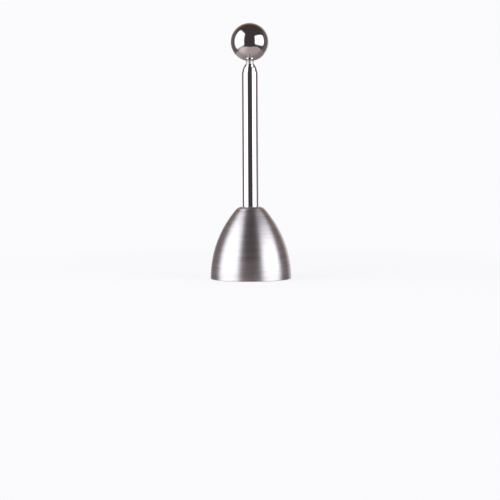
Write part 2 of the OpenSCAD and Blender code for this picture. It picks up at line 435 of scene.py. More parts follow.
class Wire:
    """A value on its way between nodes. An operator on it adds the Math node that works it out."""

    def __init__(self, graph: Graph, node: bpy.types.Node, output: str | int = 0) -> None:
        """Keeps the graph, the node that the value comes from, and its output's name or place.

        Args:
            graph: The node tree that the node is in.
            node: The node that the value comes from.
            output: The name or place of the node's output.
        """
        self.graph = graph
        self.node = node
        self.output = output

    def out(self, output: str | int) -> Wire:
        """Another output of the same node."""
        return Wire(self.graph, self.node, output)

    def maths(self, operation: str, *others: Any, first: Any = None) -> Wire:
        """Adds a Math node on this and the others, or on another first operand and this."""
        operands = (self, *others) if first is None else (first, self)
        return self.graph.add("ShaderNodeMath", {"operation": operation}, dict(enumerate(operands)))

    def __add__(self, other: Wire | float) -> Wire:
        """This plus other."""
        return self.maths("ADD", other)

    def __radd__(self, other: float) -> Wire:
        """Other plus this."""
        return self.maths("ADD", first=other)

    def __sub__(self, other: Wire | float) -> Wire:
        """This less other."""
        return self.maths("SUBTRACT", other)

    def __rsub__(self, other: float) -> Wire:
        """Other less this."""
        return self.maths("SUBTRACT", first=other)

    def __mul__(self, other: Wire | float) -> Wire:
        """This times other."""
        return self.maths("MULTIPLY", other)

    def __rmul__(self, other: float) -> Wire:
        """Other times this."""
        return self.maths("MULTIPLY", first=other)

    def __truediv__(self, other: Wire | float) -> Wire:
        """This over other."""
        return self.maths("DIVIDE", other)

    def off_axis(self, other: Wire) -> Wire:
        """The distance from the axis of a point whose x is this and whose y is other."""
        return (self * self + other * other).maths("SQRT")

    def size(self) -> Wire:
        """This without its sign."""
        return self.maths("ABSOLUTE")

    def within(self, low: float, high: float) -> Wire:
        """0 up to low, 1 from high on, and a smooth step between.

        Args:
            low: Where the step starts. It may be the greater of the two.
            high: Where the step ends.

        Returns:
            The share.
        """
        settings = {"interpolation_type": "SMOOTHSTEP"}
        return self.graph.add("ShaderNodeMapRange", settings, {"Value": self, 1: low, 2: high})


class Grain(NamedTuple):
    """Noise that is drawn out round the axis: features to the millimetre along the profile and round it."""

    along: float
    round_axis: float
    detail: float = 2.0


class Graph:
    """The node tree of one material or world."""

    def __init__(self, owner: bpy.types.Material | bpy.types.World) -> None:
        """Empties the owner's node tree.

        Args:
            owner: The material or the world.
        """
        owner.use_nodes = True
        self.tree = owner.node_tree
        self.tree.nodes.clear()

    def add(self, kind: str, settings: Settings | None = None, values: Values | None = None) -> Wire:
        """Adds a node.

        Args:
            kind: The node's type.
            settings: Its properties, which are set first.
            values: A number, colour or wire for each input, by the input's name or place.

        Returns:
            The node's first output.
        """
        node = self.tree.nodes.new(kind)
        for key, value in (settings or {}).items():
            setattr(node, key, value)
        for key, value in (values or {}).items():
            if isinstance(value, Wire):
                self.link(value, node, key)
            else:
                node.inputs[key].default_value = value
        return Wire(self, node)

    def link(self, wire: Wire, node: bpy.types.Node, key: str | int) -> None:
        """Links a wire to a node's input."""
        self.tree.links.new(wire.node.outputs[wire.output], node.inputs[key])

    def place(self) -> tuple[Wire, Wire, Wire]:
        """The object's own x, y and z in millimetres.

        Returns:
            The three coordinates.
        """
        spot = self.add("ShaderNodeTexCoord").out("Object")
        scaled = self.add("ShaderNodeVectorMath", {"operation": "SCALE"}, {0: spot, "Scale": 1 / MM})
        return self.split(scaled)

    def split(self, point: Wire) -> tuple[Wire, Wire, Wire]:
        """The x, y and z of a point."""
        parts = self.add("ShaderNodeSeparateXYZ", None, {0: point})
        return parts, parts.out(1), parts.out(2)

    def noise(self, x: Wire, y: Wire, z: Wire, grain: float = 1.0, detail: float = 2.0) -> Wire:
        """Soft noise over a point.

        Args:
            x: The point's x.
            y: The point's y.
            z: The point's z.
            grain: Features to the unit.
            detail: Finer layers on top of the first.

        Returns:
            The noise, about 0 to 1.
        """
        point = self.add("ShaderNodeCombineXYZ", None, {0: x, 1: y, 2: z})
        values = {"Vector": point, "Scale": grain, "Detail": detail}
        return self.add("ShaderNodeTexNoise", None, values)

    def grained(self, x: Wire, y: Wire, run: Wire, grain: Grain) -> Wire:
        """Noise over a point of a turned surface, where run is the place along its profile."""
        return self.noise(x * grain.round_axis, y * grain.round_axis, run * grain.along, detail=grain.detail)

    def blend(self, share: Wire, first: Any, second: Any) -> Wire:
        """A colour that goes from the first to the second with the share."""
        values = {0: share, 6: first, 7: second}
        return self.add("ShaderNodeMix", {"data_type": "RGBA"}, values).out(2)

    def bump(self, height: Wire, distance: float) -> Wire:
        """Normals of a relief, whose height of 0 to 1 stands for a distance in millimetres."""
        return self.add("ShaderNodeBump", None, {"Height": height, "Distance": distance * MM})

    def end(self, shader: Wire, kind: str = "Material") -> None:
        """Links the last shader to the output of the material or the world."""
        self.add(f"ShaderNodeOutput{kind}", None, {"Surface": shader})

    def glow(self, colour: Any, strength: Any = 1.0) -> Wire:
        """A surface that gives light of a colour and a strength."""
        return self.add("ShaderNodeEmission", None, {"Color": colour, "Strength": strength})


def tinted(colour: Colour, share: float = 1.0) -> tuple[float, float, float, float]:
    """The colour times a share, with full alpha."""
    return (*(part * share for part in colour), 1.0)


@dataclass(frozen=True)
class Finish:
    """A bare metal surface. What is the same all over it sits on the shader's own sockets.

    Its pattern spreads the roughness about its mean, and takes the colour from a dark shade to a light one.
    """

    slot: str
    colour: Colour
    roughness: float
    rough_spread: float = 0.2
    shades: tuple[float, float] = (0.88, 1.08)
    relief_mm: float = 0.006

    def material(self) -> bpy.types.Material:
        """Makes the material and lets the finish draw its pattern into it.

        Returns:
            The new material.
        """
        made = bpy.data.materials.new(self.slot)
        graph = Graph(made)
        shader = graph.add("ShaderNodeBsdfPrincipled", None, {
            "Base Color": tinted(self.colour),
            "Roughness": self.roughness,
            "Metallic": 1.0,
        })
        self.draw(graph, shader.node)
        graph.end(shader)
        return made

    def draw(self, graph: Graph, shader: bpy.types.Node) -> None:
        """Draws the pattern of the finish into the shader. A plain metal has none."""

    def rough(self, noise: Wire) -> Wire:
        """The roughness, spread about its mean by a noise."""
        return self.roughness + (noise - 0.5) * self.rough_spread

    def shade(self, graph: Graph, share: Wire) -> Wire:
        """The colour, which goes from its dark shade to its light one with the share."""
        dark, light = (tinted(self.colour, part) for part in self.shades)
        return graph.blend(share, dark, light)

    @staticmethod
    def feed(graph: Graph, shader: bpy.types.Node, **wires: Wire) -> None:
        """Links wires to the shader's colour, roughness and normal.

        Args:
            graph: The material's node tree.
            shader: The shader.
            **wires: The wires, under the names colour, roughness and normal.
        """
        names = {"colour": "Base Color", "roughness": "Roughness", "normal": "Normal"}
        for key, wire in wires.items():
            graph.link(wire, shader, names[key])


@dataclass(frozen=True)
class Brushed(Finish):
    """Brushed round the axis, so that a reflection spreads up and down and hardly sideways."""

    rough_spread: float = 0.3
    shades: tuple[float, float] = (0.83, 1.1)
    relief_mm: float = 0.004
    anisotropy: float = 0.76
    anisotropy_turn: float = 0.25
    lines: Grain = Grain(1.3, 0.04, 4.0)
    bands: Grain = Grain(0.35, 0.012, 1.0)
    lines_share: float = 0.8
    streak_levels: tuple[float, float] = (0.28, 0.72)
    scuffs: Grain = Grain(3.0, 0.08, 1.0)
    scuff_levels: tuple[float, float] = (0.57, 0.72)
    scuff_dark: float = 0.9
    scuff_rough: float = 0.05
    scuff_relief: float = 0.5
    rim_levels: tuple[float, float] = (0.6, 0.1)
    rim_polish: float = 0.1

    def draw(self, graph: Graph, shader: bpy.types.Node) -> None:
        """Noise that is drawn out round the axis and packed along the profile, in fine lines and broad bands.

        The place along the profile is height less radius, which grows all the way up the side and in over
        the crown. Scuffs are thin dark lines on top, and the rim's edge is worn smoother.

        Args:
            graph: The material's node tree.
            shader: The shader that the pattern feeds.
        """
        shader.inputs["Anisotropic"].default_value = self.anisotropy
        shader.inputs["Anisotropic Rotation"].default_value = self.anisotropy_turn
        x, y, z = graph.place()
        run = z - x.off_axis(y)
        lines = graph.grained(x, y, run, self.lines)
        bands = graph.grained(x, y, run, self.bands)
        scuffs = graph.grained(x, y, run, self.scuffs).within(*self.scuff_levels)
        worn_rim = z.within(*self.rim_levels)
        streaks = lines * self.lines_share + bands * (1 - self.lines_share)
        rough = self.rough(streaks) + scuffs * self.scuff_rough - worn_rim * self.rim_polish
        shade = self.shade(graph, streaks.within(*self.streak_levels) - scuffs * self.scuff_dark)
        normal = graph.bump(lines + scuffs * self.scuff_relief, self.relief_mm)
        self.feed(graph, shader, colour=shade, roughness=rough, normal=normal)


@dataclass(frozen=True)
class Polished(Finish):
    """Buffed to a mirror, with a trace of haze and hairlines that run round the axis."""

    shades: tuple[float, float] = (0.97, 1.02)
    rough_spread: float = 0.02
    clouds_per_mm: float = 0.12
    hairlines: Grain = Grain(2.0, 0.15)
    hairline_levels: tuple[float, float] = (0.55, 0.75)
    hairline_light: float = 0.5

    def draw(self, graph: Graph, shader: bpy.types.Node) -> None:
        """Cloudy noise for the haze, and thin noise packed along the axis for the hairlines.

        Args:
            graph: The material's node tree.
            shader: The shader that the pattern feeds.
        """
        x, y, z = graph.place()
        cloud = graph.noise(x, y, z, grain=self.clouds_per_mm)
        hair = graph.grained(x, y, z, self.hairlines).within(*self.hairline_levels)
        rough = self.rough(cloud) + hair * self.rough_spread
        shade = self.shade(graph, cloud + hair * self.hairline_light)
        self.feed(graph, shader, colour=shade, roughness=rough)


@dataclass(frozen=True)
class Turned(Finish):
    """As it came off the lathe: even rings of the tool's feed, on the sides and on the faces."""

    feed_mm: float = 0.12
    wobble: Grain = Grain(1.5, 0.1)

    def draw(self, graph: Graph, shader: bpy.types.Node) -> None:
        """A triangle wave over height less radius with the feed as its pitch, broken up by noise.

        Args:
            graph: The material's node tree.
            shader: The shader that the pattern feeds.
        """
        x, y, z = graph.place()
        run = z - x.off_axis(y)
        wobble = graph.grained(x, y, run, self.wobble)
        turns = run / self.feed_mm + wobble
        rough, shade = self.rough(wobble), self.shade(graph, wobble)
        normal = graph.bump(turns.maths("PINGPONG", 0.5) * 2, self.relief_mm)
        self.feed(graph, shader, colour=shade, roughness=rough, normal=normal)


@dataclass(frozen=True)
class Stamped(Finish):
    """Stamped from sheet and tumbled: small dents and scuffs that run every way."""

    rough_spread: float = 0.25
    relief_mm: float = 0.01
    dents_per_mm: float = 1.6
    scuffs_per_dent: float = 6.0
    scuff_relief: float = 0.2

    def draw(self, graph: Graph, shader: bpy.types.Node) -> None:
        """Two layers of even noise, a coarse one for the dents and a fine one for the scuffs.

        Args:
            graph: The material's node tree.
            shader: The shader that the pattern feeds.
        """
        x, y, z = graph.place()
        dents = graph.noise(x, y, z, grain=self.dents_per_mm)
        scuffs = graph.noise(x, y, z, grain=self.dents_per_mm * self.scuffs_per_dent, detail=3.0)
        rough, shade = self.rough(scuffs), self.shade(graph, scuffs)
        normal = graph.bump(dents + scuffs * self.scuff_relief, self.relief_mm)
        self.feed(graph, shader, colour=shade, roughness=rough, normal=normal)


@dataclass(frozen=True)
class Drawn(Finish):
    """Wire that was pulled through a die: scratches that follow the wire round the coil."""

    shades: tuple[float, float] = (0.82, 1.1)
    relief_mm: float = 0.004
    scratches_per_mm: float = 14.0
    scratches_round: float = 0.2
    stains_per_mm: float = 0.5

    def draw(self, graph: Graph, shader: bpy.types.Node) -> None:
        """Noise that is packed across the wire, by radius and height, and drawn out round the axis.

        Args:
            graph: The material's node tree.
            shader: The shader that the pattern feeds.
        """
        x, y, z = graph.place()
        across, up = x.off_axis(y) * self.scratches_per_mm, z * self.scratches_per_mm
        scratch = graph.noise(across, x * self.scratches_round, up)
        stain = graph.noise(x, y, z, grain=self.stains_per_mm)
        rough, shade = self.rough(scratch), self.shade(graph, stain)
        self.feed(graph, shader, colour=shade, roughness=rough, normal=graph.bump(scratch, self.relief_mm))


BRUSHED_BELL = Brushed("brushed_bell", (0.71, 0.68, 0.695), 0.39)
POLISHED_TUBE = Polished("polished_tube", (0.78, 0.755, 0.76), 0.08, rough_spread=0.0)
POLISHED_BALL = Polished("polished_ball", (0.655, 0.633, 0.636), 0.09, rough_spread=0.01)
GROUND_ROD = Polished("ground_rod", (0.60, 0.57, 0.53), 0.45, rough_spread=0.05, hairlines=Grain(9.0, 0.15))
BUSH_BRASS = Turned("bush_brass", (0.72, 0.55, 0.26), 0.26)
SPRING_WIRE = Drawn("spring_wire", (0.46, 0.46, 0.48), 0.34)
TURNED_STEEL = Turned("turned_steel", (0.56, 0.56, 0.57), 0.3)
WASHER_STEEL = Stamped("washer_steel", (0.60, 0.60, 0.60), 0.34)
SCREW_STEEL = Stamped("screw_steel", (0.66, 0.65, 0.65), 0.2, dents_per_mm=0.8)


class Workshop:
    """Hands out the finished pieces, with one material for each finish."""

    def __init__(self) -> None:
        """Starts with no materials."""
        self.materials: dict[str, bpy.types.Material] = {}

    def fit(self, piece: bpy.types.Object, node: str, body: Body, finish: Finish) -> bpy.types.Object:
        """Gives a piece its finish and its body, and hides the CAD node that it stands for.

        Args:
            piece: The finished mesh object.
            node: The CAD node that it replaces.
            body: The body that it rides on.
            finish: Its finish.

        Returns:
            The same piece.
        """
        if finish.slot not in self.materials:
            self.materials[finish.slot] = finish.material()
        piece.data.materials.clear()
        piece.data.materials.append(self.materials[finish.slot])
        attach(piece, body.value)
        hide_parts(node)
        faces = len(piece.data.polygons)
        log.info("%s rides on %s: %d faces, %s", piece.name, body.value, faces, finish.slot)
        return piece


# ------------------------------------------------------------------------------------------ sub-assemblies


@dataclass
class BellEnd:
    """The bell, and what clamps it under the tube: two washers, a screw and the plug that takes it."""

    wall: float = 1.0
    crown_round: float = 4.2
    crown_land: float = 0.2
    rim_round: float = 0.25
    hole_radius: float = 2.15
    thread: Metric = Metric(2.0, 0.7)
    tip_gap: float = 1.0
    head_flat_radius: float = 1.7
    head_skirt: float = 0.2
    head_height: float = 2.2
    socket_depth: float = 1.3
    socket_key: float = 2.5
    socket_drill_share: float = 0.8
    socket_drill_tip: float = 0.3
    socket_mouth: float = 0.12
    socket_lead: float = 0.22
    thread_runout: float = 0.3
    tip_taper: float = 0.4
    head_edge: float = 0.06
    neck_round: float = 0.08
    washer_edges: tuple[float, ...] = (0.16, 0.03, 0.03, 0.1)
    lock_edge: float = 0.12
    split_gap: float = 0.6
    split_slant: float = 20.0
    edge: float = 0.1
    plug_edge: float = 0.3

    def bell(self) -> bpy.types.Object:
        """One wall of even thickness from the rim up to the crown, and back down inside.

        The side is an arc that is upright at the rim's rounding and touches the crown's rounding. With a
        run a and a rise b from there to the rounding's centre, and a rounding c, its radius is
        (a a + b b - c c) / 2 (a - c).

        Returns:
            The bell.
        """
        size, tube = Extent.of("bell_cup"), Extent.of("handle_tube").radius
        turn_x, turn_z = tube + self.crown_land, size.high - self.crown_round
        run, rise = size.radius - turn_x, turn_z - self.rim_round
        side = (run**2 + rise**2 - self.crown_round**2) / (2 * (run - self.crown_round))
        side_x = size.radius - side
        lean = math.degrees(math.atan2(rise, turn_x - side_x))
        outer, inner = size.radius - self.rim_round, size.radius - self.wall + self.rim_round
        hole, under = self.hole_radius + self.edge, size.high - self.wall
        return turned("bell_shell", [
            Arc((outer, self.rim_round), self.rim_round, -90, 0, 6),
            Arc((side_x, self.rim_round), side, 0, lean, 72),
            Arc((turn_x, turn_z), self.crown_round, lean, 90, 28),
            Line((turn_x, size.high), (hole, size.high)),
            Arc((hole, size.high - self.edge), self.edge, 90, 180, 3),
            Line((self.hole_radius, size.high - self.edge), (self.hole_radius, under + self.edge)),
            Arc((hole, under + self.edge), self.edge, 180, 270, 3),
            Line((hole, under), (turn_x, under)),
            Arc((turn_x, turn_z), self.crown_round - self.wall, 90, lean, 28),
            Arc((side_x, self.rim_round), side - self.wall, lean, 0, 72),
            Arc((inner, self.rim_round), self.rim_round, 180, 270, 6),
            Line((inner, 0), (outer, 0)),
        ], 256)

    def flat_washer(self) -> bpy.types.Object:
        """The washer under the crown, rolled below."""
        return washer("flat_washer", "crown_washer", self.hole_radius, self.washer_edges)

    def lock_washer(self) -> bpy.types.Object:
        """A ring of rounded section that starts and ends at a slanted split, with a flat cap at each end.

        The section's point at (r, z) is turned from the angle where it meets one side of the split to the
        angle where it meets the other. A side of the split stands at x = g/2 cos s + (z - m) tan s, with a
        gap g, a slant s and the middle height m, so that the angle from the front is asin(x / r).

        Returns:
            The washer.
        """
        size = Extent.of("lock_washer")
        outer = Extent.of("cup_screw").radius
        slant, middle = math.radians(self.split_slant), (size.low + size.high) / 2
        section = ring(self.hole_radius, outer, size.low, size.high, [self.lock_edge] * 4)
        hub = (self.hole_radius + outer) / 2

        def swept(radius: np.ndarray, height: np.ndarray, share: np.ndarray) -> np.ndarray:
            """The section's points, turned by a share of the way from one side of the split to the other.

            Args:
                radius: Radii of points of the section.
                height: Their heights.
                share: Share of the way round, from 0 to 1.

            Returns:
                The points.
            """
            lean = (height - middle) * math.tan(slant)
            half = self.split_gap / 2 / math.cos(slant)
            first = -math.pi / 2 + np.arcsin((lean + half) / radius)
            last = 1.5 * math.pi + np.arcsin((lean - half) / radius)
            return around(radius, height, first + (last - first) * share)

        def capped(stretch: Stretch, share: float, inwards: bool) -> Surface:
            """The flat cap at one end: the stretch's points, drawn in to the section's middle as v runs.

            Args:
                stretch: The stretch of the section that the cap is drawn in from.
                share: 0 for the end where the way round starts, and 1 for the other.
                inwards: Whether v runs from the edge to the middle.

            Returns:
                The cap's surface.
            """

            def surface(u: np.ndarray, v: np.ndarray) -> np.ndarray:
                """The cap's point at u along the stretch and v between the middle and the edge.

                Args:
                    u: Share of the stretch, from 0 to 1.
                    v: Share of the way between the middle and the edge.

                Returns:
                    The points.
                """
                radius, height = stretch.at(u, v)
                keep = 1 - v if inwards else v
                return swept(hub + (radius - hub) * keep, middle + (height - middle) * keep, share + 0 * u)

            return surface

        skin = Skin()
        for stretch in section:
            skin.patch(lambda u, v, s=stretch: swept(*s.at(u, 0 * v), v), stretch.steps, 128)
            skin.patch(capped(stretch, 0.0, False), stretch.steps, 3)
            skin.patch(capped(stretch, 1.0, True), stretch.steps, 3)
        return skin.build("split_washer")

    def screw(self) -> bpy.types.Object:
        """A button-head screw: hexagon socket, domed head, skirt, and a thread that fades out at the head.

        The dome is an arc centred on the axis that runs from the flat's edge to the skirt. The socket's
        floor is the drill's cone, and its mouth widens to a circle.

        Returns:
            The screw, with its head down.
        """
        size = Extent.of("cup_screw")
        head, low = size.radius, size.low
        seat = low + self.head_height
        skirt = seat - self.head_skirt
        flat, dome_h, half_key = self.head_flat_radius, skirt - low, self.socket_key / 2
        dome_z = skirt + (head**2 - flat**2 - dome_h**2) / (2 * dome_h)
        dome = math.hypot(head, dome_z - skirt)
        start, end = (math.degrees(math.atan2(z - dome_z, r)) for z, r in ((low, flat), (skirt, head)))
        floor, mouth = low + self.socket_depth, low + self.socket_mouth
        drill, lead = half_key * self.socket_drill_share, half_key + self.socket_lead
        shank, tip = seat + self.thread_runout, self.thread.radius - self.tip_taper
        return turned("button_screw", [
            Line((0, floor + self.socket_drill_tip), (drill, floor)),
            Line((drill, floor), (half_key, floor), keyed=(False, True)),
            Line((half_key, floor), (half_key, mouth), keyed=(True, True)),
            Line((half_key, mouth), (lead, low), keyed=(True, False)),
            Line((lead, low), (flat, low)),
            Arc((0, dome_z), dome, start, end, 24),
            *softened([
                Corner(head, skirt),
                Corner(head, seat, self.head_edge),
                Corner(self.thread.radius, seat, self.neck_round),
                Corner(self.thread.radius, shank),
            ], closed=False),
            Thread(shank, size.high, self.thread, fades_at=shank, tip_radius=tip),
            Line((tip, size.high), (0, size.high)),
        ])

    def plug(self) -> bpy.types.Object:
        """The anvil plug: tapped from below, with the blows of the striker on its top face.

        Returns:
            The plug.
        """
        size, screw_tip = Extent.of("anvil_plug"), Extent.of("cup_screw").high
        deep, edge, drill = screw_tip + self.tip_gap, self.plug_edge, self.thread.drill
        sink, foot = self.thread.radius + edge / 2, size.low + edge / 2
        return turned("threaded_anvil", [
            Line((0, deep + drill / 2), (drill, deep)),
            Thread(deep, foot, self.thread, inner=True, fades_at=deep, tip_radius=sink),
            *softened([
                Corner(sink, foot),
                Corner(self.thread.radius + edge, size.low),
                Corner(size.radius - edge, size.low),
                Corner(size.radius, size.low + edge),
                Corner(size.radius, size.high - edge),
                Corner(size.radius - edge, size.high),
                Corner(0, size.high),
            ], closed=False),
        ])

    def make(self, shop: Workshop) -> None:
        """Builds the sub-assembly's pieces and finishes them.

        Args:
            shop: What gives the pieces their finish and their body.
        """
        shop.fit(self.bell(), "bell_cup", Body.HOUSING, BRUSHED_BELL)
        shop.fit(self.flat_washer(), "crown_washer", Body.HOUSING, WASHER_STEEL)
        shop.fit(self.lock_washer(), "lock_washer", Body.HOUSING, WASHER_STEEL)
        shop.fit(self.screw(), "cup_screw", Body.HOUSING, SCREW_STEEL)
        shop.fit(self.plug(), "anvil_plug", Body.HOUSING, TURNED_STEEL)


@dataclass
class Handle:
    """The swaged tube and what its upper end holds: the brass guide, a washer and the spring."""

    wall: float = 0.6
    nose_start: float = 102.5
    nose_round: float = 5.0
    cone_slope: float = 15.0
    tip_round: float = 1.5
    tip_slope: float = 31.0
    cone_share: float = 0.41
    nose_lip: float = 0.25
    nose_hole_radius: float = 2.02
    nose_hole_edge: float = 0.05
    foot_edge: float = 0.1
    lip_edge: float = 0.15
    rod_radius: float = 1.9
    guide_clearance: float = 0.05
    guide_edge: float = 0.3
    bore_edge: float = 0.1
    groove_edge: float = 0.05
    groove_round: float = 0.12
    groove_floor_share: float = 0.4
    washer_clearance: float = 0.15
    washer_edges: tuple[float, ...] = (0.14, 0.03, 0.1, 0.03)
    wire: float = 0.7
    turns: int = 22
    closed_turns: float = 1.0
    closed_gap: float = 0.012
    seat_gap: float = 0.02
    pull: float = 20.0

    def tube(self) -> bpy.types.Object:
        """A plain tube whose upper end narrows in two cones to a nose of the same wall, down to a flat lip.

        Without their roundings, the side meets the first cone R tan(s/2) above the nose's start, with R the
        rounding there and s the cone's slope. An inner corner lies a wall in from its outer one, square to
        the stretch below it, and back along that by the wall times the tangent of half the turn.

        Returns:
            The tube.
        """
        size = Extent.of("handle_tube")
        slopes = math.radians(self.cone_slope), math.radians(self.tip_slope)
        lip, hole = self.nose_hole_radius + self.nose_lip, self.nose_hole_radius
        narrows = self.cone_share * (size.radius - lip)
        first = np.array([size.radius, self.nose_start + self.nose_round * math.tan(slopes[0] / 2)])
        second = first + [-narrows, narrows / math.tan(slopes[0])]

        def inward(corner: np.ndarray, below: float, above: float) -> np.ndarray:
            """The inner corner for an outer one, between stretches that slope by below and above.

            Args:
                corner: Radius and height of the outer corner.
                below: Slope of the stretch below it, in radians from upright.
                above: Slope of the stretch above it.

            Returns:
                Radius and height of the inner corner.
            """
            back = self.wall * math.tan((above - below) / 2)
            square = np.array([math.cos(below), math.sin(below)])
            return corner - self.wall * square - back * np.array([-math.sin(below), math.cos(below)])

        in_first, in_second = inward(first, 0.0, slopes[0]), inward(second, *slopes)
        in_top = in_second[1] + (in_second[0] - hole) / math.tan(slopes[1])
        return turned("swaged_tube", softened([
            Corner(size.radius, size.low, self.foot_edge),
            Corner(*first, self.nose_round),
            Corner(*second, self.tip_round),
            Corner(lip, size.high, self.lip_edge),
            Corner(hole, size.high, self.nose_hole_edge),
            Corner(hole, in_top),
            Corner(*in_second, self.tip_round - self.wall),
            Corner(*in_first, self.nose_round - self.wall),
            Corner(size.radius - self.wall, size.low),
        ]), 192)

    def guide(self) -> bpy.types.Object:
        """The brass guide, chamfered outside, with an oil groove round the middle of its bore.

        Returns:
            The guide.
        """
        size, hole, edge = Extent.of("guide_bush"), self.rod_radius + self.guide_clearance, self.guide_edge
        middle, floor = (size.low + size.high) / 2, edge * self.groove_floor_share
        return turned("brass_guide", softened([
            Corner(size.radius - edge, size.low),
            Corner(size.radius, size.low + edge),
            Corner(size.radius, size.high - edge),
            Corner(size.radius - edge, size.high),
            Corner(hole, size.high, self.bore_edge),
            Corner(hole, middle + edge, self.groove_edge),
            Corner(hole + edge, middle + floor, self.groove_round),
            Corner(hole + edge, middle - floor, self.groove_round),
            Corner(hole, middle - edge, self.groove_edge),
            Corner(hole, size.low, self.bore_edge),
        ]), 128)

    def high_washer(self) -> bpy.types.Object:
        """The washer between the spring's upper end and the guide."""
        hole = self.rod_radius + self.washer_clearance
        return washer("high_washer", "upper_spring_washer", hole, self.washer_edges)

    def spring(self) -> bpy.types.Object:
        """A coil of round wire with closed and ground ends.

        After s turns the wire's centre stands at c s + (p - c) (I(s - s0) - I(s - s1)), with c the closed
        pitch of the ends and p the open pitch between s0 and s1. I(x) is the area under a smooth step one
        turn wide, x x x - x x x x / 2 up to 1 and x - 1/2 from there. The centre starts a quarter of the
        wire below the foot and ends as far above the top, and what stands out is ground off flat.

        Returns:
            The spring.
        """
        low = Extent.of("lower_spring_washer").high + self.seat_gap
        high = Extent.of("upper_spring_washer").low
        bore, closed = Extent.of("handle_tube").radius - self.wall, self.wire + self.closed_gap
        coil = (self.rod_radius + bore) / 2
        starts, ends = self.closed_turns, self.turns - self.closed_turns - 1
        rise = high - low + self.wire / 2
        pitch = closed + (rise - closed * self.turns) / (ends - starts)

        def area(x: np.ndarray) -> np.ndarray:
            """The area I(x) under the smooth step."""
            share = np.clip(x, 0, 1)
            return share**3 - share**4 / 2 + np.maximum(x - 1, 0)

        def centre(s: np.ndarray) -> np.ndarray:
            """The wire's centre after s turns.

            Args:
                s: Turns from the spring's foot.

            Returns:
                The points.
            """
            opened = area(s - starts) - area(s - ends)
            height = low - self.wire / 4 + closed * s + (pitch - closed) * opened
            return around(coil + 0 * s, height, math.tau * s)

        def coated(s: np.ndarray, v: np.ndarray, thick: np.ndarray) -> np.ndarray:
            """The point after s turns at v of the way round the wire, at a share of the wire's radius.

            Args:
                s: Turns from the spring's foot.
                v: Share of the way round the wire, from 0 to 1.
                thick: Share of the wire's radius, from 0 to 1.

            Returns:
                The points.
            """
            along = centre(s + HAIR) - centre(s - HAIR)
            along /= np.linalg.norm(along, axis=-1, keepdims=True)
            out = around(1 + 0 * s, 0 * s, math.tau * s)
            across = np.cross(out, along)
            angle, radius = (math.tau * v)[..., None], self.wire / 2 * thick[..., None]
            point = centre(s) + radius * (np.cos(angle) * out - np.sin(angle) * across)
            point[..., 2] = np.clip(point[..., 2], low, high)
            return point

        skin = Skin()
        skin.patch(lambda u, v: coated(self.turns * u, v, 1 + 0 * u), self.turns * 40, 20)
        skin.patch(lambda u, v: coated(0 * u, v, u), 3, 20)
        skin.patch(lambda u, v: coated(self.turns + 0 * u, v, 1 - u), 3, 20)
        return skin.build("coiled_spring")

    def make(self, shop: Workshop) -> None:
        """Builds the sub-assembly's pieces and finishes them, and gives the spring a mesh of its own.

        Args:
            shop: What gives the pieces their finish and their body.
        """
        shop.fit(self.tube(), "handle_tube", Body.HOUSING, POLISHED_TUBE)
        shop.fit(self.guide(), "guide_bush", Body.HOUSING, BUSH_BRASS)
        shop.fit(self.high_washer(), "upper_spring_washer", Body.HOUSING, WASHER_STEEL)
        spring = shop.fit(self.spring(), "pull_spring", Body.HOUSING, SPRING_WIRE)
        box = Extent.of("pull_spring")
        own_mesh(spring)


